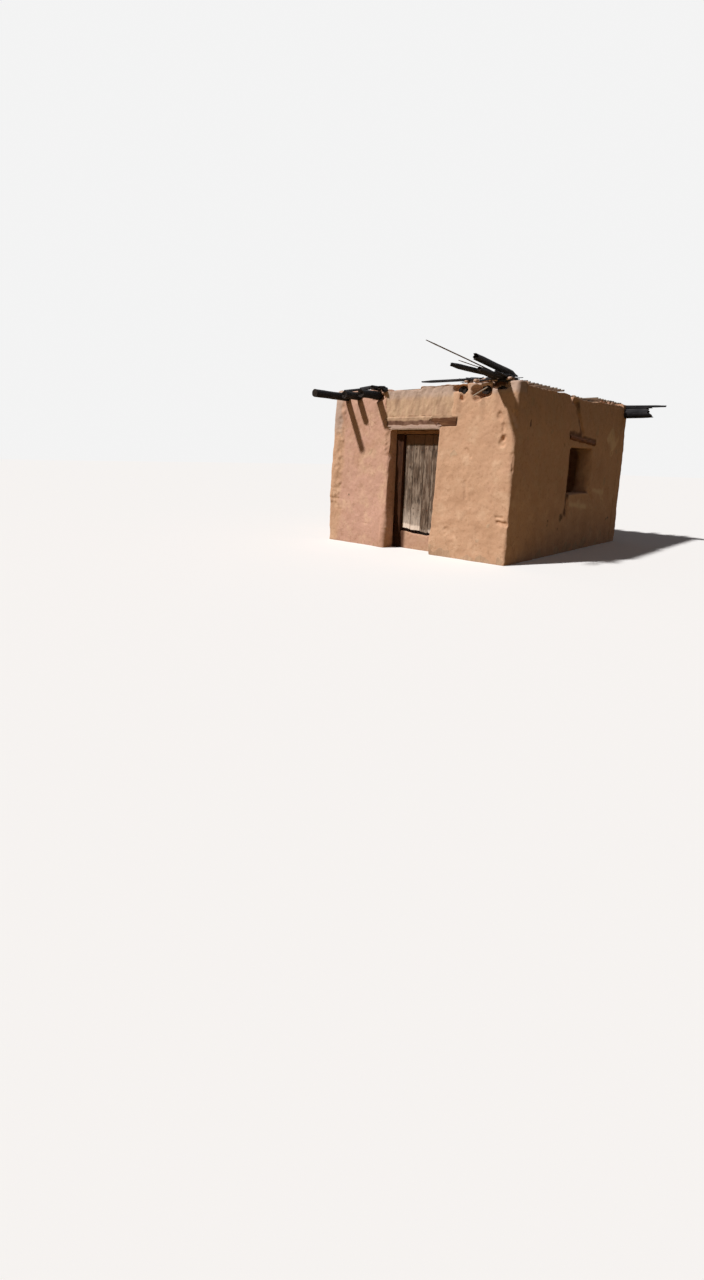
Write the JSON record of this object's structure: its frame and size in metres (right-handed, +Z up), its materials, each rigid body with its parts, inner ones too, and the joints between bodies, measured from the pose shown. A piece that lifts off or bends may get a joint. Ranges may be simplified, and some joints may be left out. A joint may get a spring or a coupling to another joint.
{
  "type": "one-room adobe house",
  "caption": "Small flat-roofed adobe house with leaning plastered walls, a plank door in a deep doorway, a side window and dark roof poles running out past the walls.",
  "frame": {"origin": "the middle of the doorway on the ground, half way through the mud sill", "axes": "+Z up; +Y from the front, with its door, to the back; +X to the right as one faces the door, towards the wall with the window"},
  "size_m": [4.2699, 6.0757, 2.8747],
  "materials": {
    "mud_plaster": "matt, weathered mud coat with straw",
    "bare_adobe": "rough, bare adobe and mud joints",
    "roof_earth": "dry packed earth",
    "dark_poles": "sun-blackened round wood, cracked",
    "brown_timber": "hewn, weathered",
    "pale_timber": "bleached, weathered",
    "grey_planks": "silvered planks, bleached at the foot",
    "old_iron": "rusted wrought iron"
  },
  "bodies": {
    "house": {"front_wall_left": "mud_plaster", "front_wall_right": "mud_plaster", "front_wall_over_door": "bare_adobe", "back_wall": "mud_plaster", "left_wall": "mud_plaster", "right_wall_front": "mud_plaster", "right_wall_rear": "mud_plaster", "right_wall_under_window": "mud_plaster", "right_wall_over_window": "mud_plaster", "door_sill": "mud_plaster", "head_board": "pale_timber", "lintel_outer": "brown_timber", "lintel_inner": "brown_timber", "door_post_left": "brown_timber", "door_post_right": "brown_timber", "door_head": "brown_timber", "hinge_pin_lower": "old_iron", "hinge_pin_upper": "old_iron", "window_log": "brown_timber", "window_beam": "brown_timber", "viga_1": "dark_poles", "viga_2": "dark_poles", "viga_3": "dark_poles", "viga_4": "dark_poles", "viga_5": "dark_poles", "viga_6": "dark_poles", "viga_7": "dark_poles", "viga_8": "dark_poles", "viga_9": "dark_poles", "latillas_front": "dark_poles", "latillas_middle": "dark_poles", "latillas_rear": "dark_poles", "earth_roof": "roof_earth", "earth_crown": "roof_earth", "loose_pole_long": "dark_poles", "loose_pole_thick": "dark_poles", "loose_pole_prop": "dark_poles", "loose_stick_thin": "dark_poles", "loose_stick_flat": "dark_poles", "stub_pole_left": "dark_poles", "rear_pole_thick": "dark_poles", "rear_pole_thin": "dark_poles"},
    "door": {"door_plank_1": "grey_planks", "door_plank_2": "grey_planks", "door_plank_3": "grey_planks", "door_plank_4": "grey_planks", "door_ledges": "grey_planks", "hinge_strap_lower": "old_iron", "hinge_strap_upper": "old_iron"}
  },
  "joints": [
    {"name": "door_hinge", "type": "hinge", "parent": "house", "child": "door", "pos_m": [-0.3425, 0.067, 1.1], "axis": [0, 0, 1], "range_deg": [0, 100]}
  ]
}
